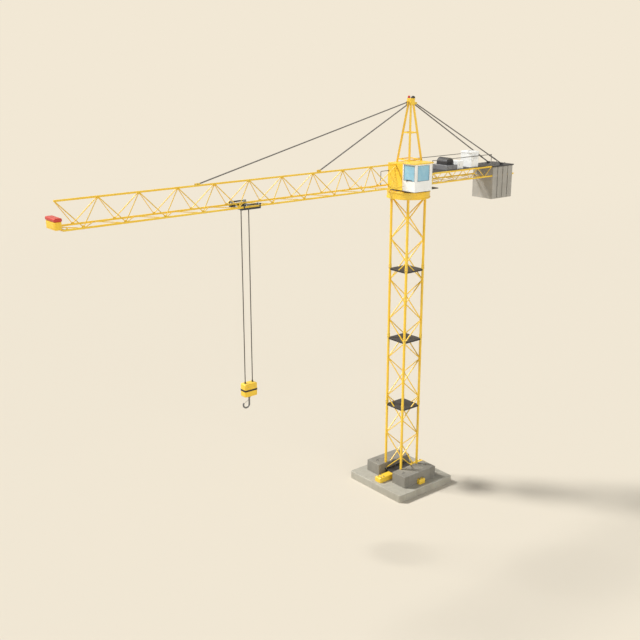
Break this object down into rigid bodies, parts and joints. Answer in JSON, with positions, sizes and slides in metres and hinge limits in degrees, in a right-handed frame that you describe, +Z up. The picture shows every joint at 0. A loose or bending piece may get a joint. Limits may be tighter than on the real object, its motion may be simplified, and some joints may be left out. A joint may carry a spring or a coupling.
{
  "type": "tower crane",
  "caption": "Yellow tower crane on a concrete slab: lattice mast, slewing jib with trolley and hook block, counter-jib with concrete counterweight, and an operator's cab.",
  "frame": {"origin": "centre of the foundation slab's underside, on the mast's axis", "axes": "+X out along the jib at rest, +Y towards the cab side, +Z up the mast"},
  "size_m": [39.83, 6.03, 31.338],
  "materials": {
    "yellow_paint": "satin",
    "white_paint": "satin",
    "grey_paint": "satin",
    "red_paint": "satin",
    "dark_steel": "satin",
    "galvanised_steel": "satin",
    "roller_steel": "satin",
    "hook_steel": "satin",
    "wire_rope": "satin",
    "window_glass": "gloss",
    "red_lens": "gloss",
    "black_cover": "matte",
    "slab_concrete": "matte",
    "block_concrete": "matte"
  },
  "bodies": {
    "base": {"foundation_slab": "slab_concrete", "ballast_block_cab_side": "block_concrete", "ballast_block_far_side": "block_concrete", "base_cross_frame": "yellow_paint", "mast_side_cab": "yellow_paint", "mast_side_far": "yellow_paint", "mast_bracing_jib": "yellow_paint", "mast_bracing_rear": "yellow_paint", "mast_landings": "dark_steel", "slewing_ring": "yellow_paint"},
    "trolley": {"trolley_frame": "dark_steel", "trolley_rollers": "roller_steel", "hoist_ropes": "wire_rope"},
    "hook_block": {"hook_block_housing": "yellow_paint", "hook_block_band": "dark_steel"},
    "hook": {"hook": "hook_steel"},
    "slewing_part": {"turntable": "dark_steel", "turret_frame": "yellow_paint", "cab_shell": "white_paint", "cab_windows": "window_glass", "cab_roof": "yellow_paint", "tower_head": "yellow_paint", "beacon": "red_lens", "sheave_cover": "black_cover", "jib_top_chord": "yellow_paint", "jib_bottom_chord_cab_side": "yellow_paint", "jib_bottom_chord_far_side": "yellow_paint", "jib_bracing_cab_side": "yellow_paint", "jib_bracing_far_side": "yellow_paint", "jib_bottom_bracing": "yellow_paint", "jib_tip_box": "yellow_paint", "jib_tip_buffer": "red_paint", "counter_jib_cab_side": "yellow_paint", "counter_jib_far_side": "yellow_paint", "counter_jib_floor_frame": "yellow_paint", "counter_jib_deck": "dark_steel", "handrail_cab_side": "galvanised_steel", "handrail_far_side": "galvanised_steel", "root_handrail": "galvanised_steel", "winch_base": "grey_paint", "winch_hood": "dark_steel", "small_cabinet": "white_paint", "tall_cabinet": "white_paint", "counterweight_slabs": "block_concrete", "counterweight_lid": "dark_steel", "long_fore_stay": "galvanised_steel", "short_fore_stay": "galvanised_steel", "rear_stays": "galvanised_steel"}
  },
  "joints": [
    {"name": "slew", "type": "hinge", "parent": "base", "child": "slewing_part", "pos_m": [0, 0, 24.405], "axis": [0, 0, 1], "continuous": true},
    {"name": "trolley_travel", "type": "slide", "parent": "slewing_part", "child": "trolley", "axis": [1, 0, 0], "range_m": [-10.2, 12]},
    {"name": "hoist", "type": "slide", "parent": "trolley", "child": "hook_block", "axis": [0, 0, 1], "range_m": [-10, 11.6], "deforming": ["hoist_ropes"]},
    {"name": "hook_swivel", "type": "hinge", "parent": "hook_block", "child": "hook", "pos_m": [15.165, 0, 11.3], "axis": [0, 0, 1], "continuous": true}
  ]
}
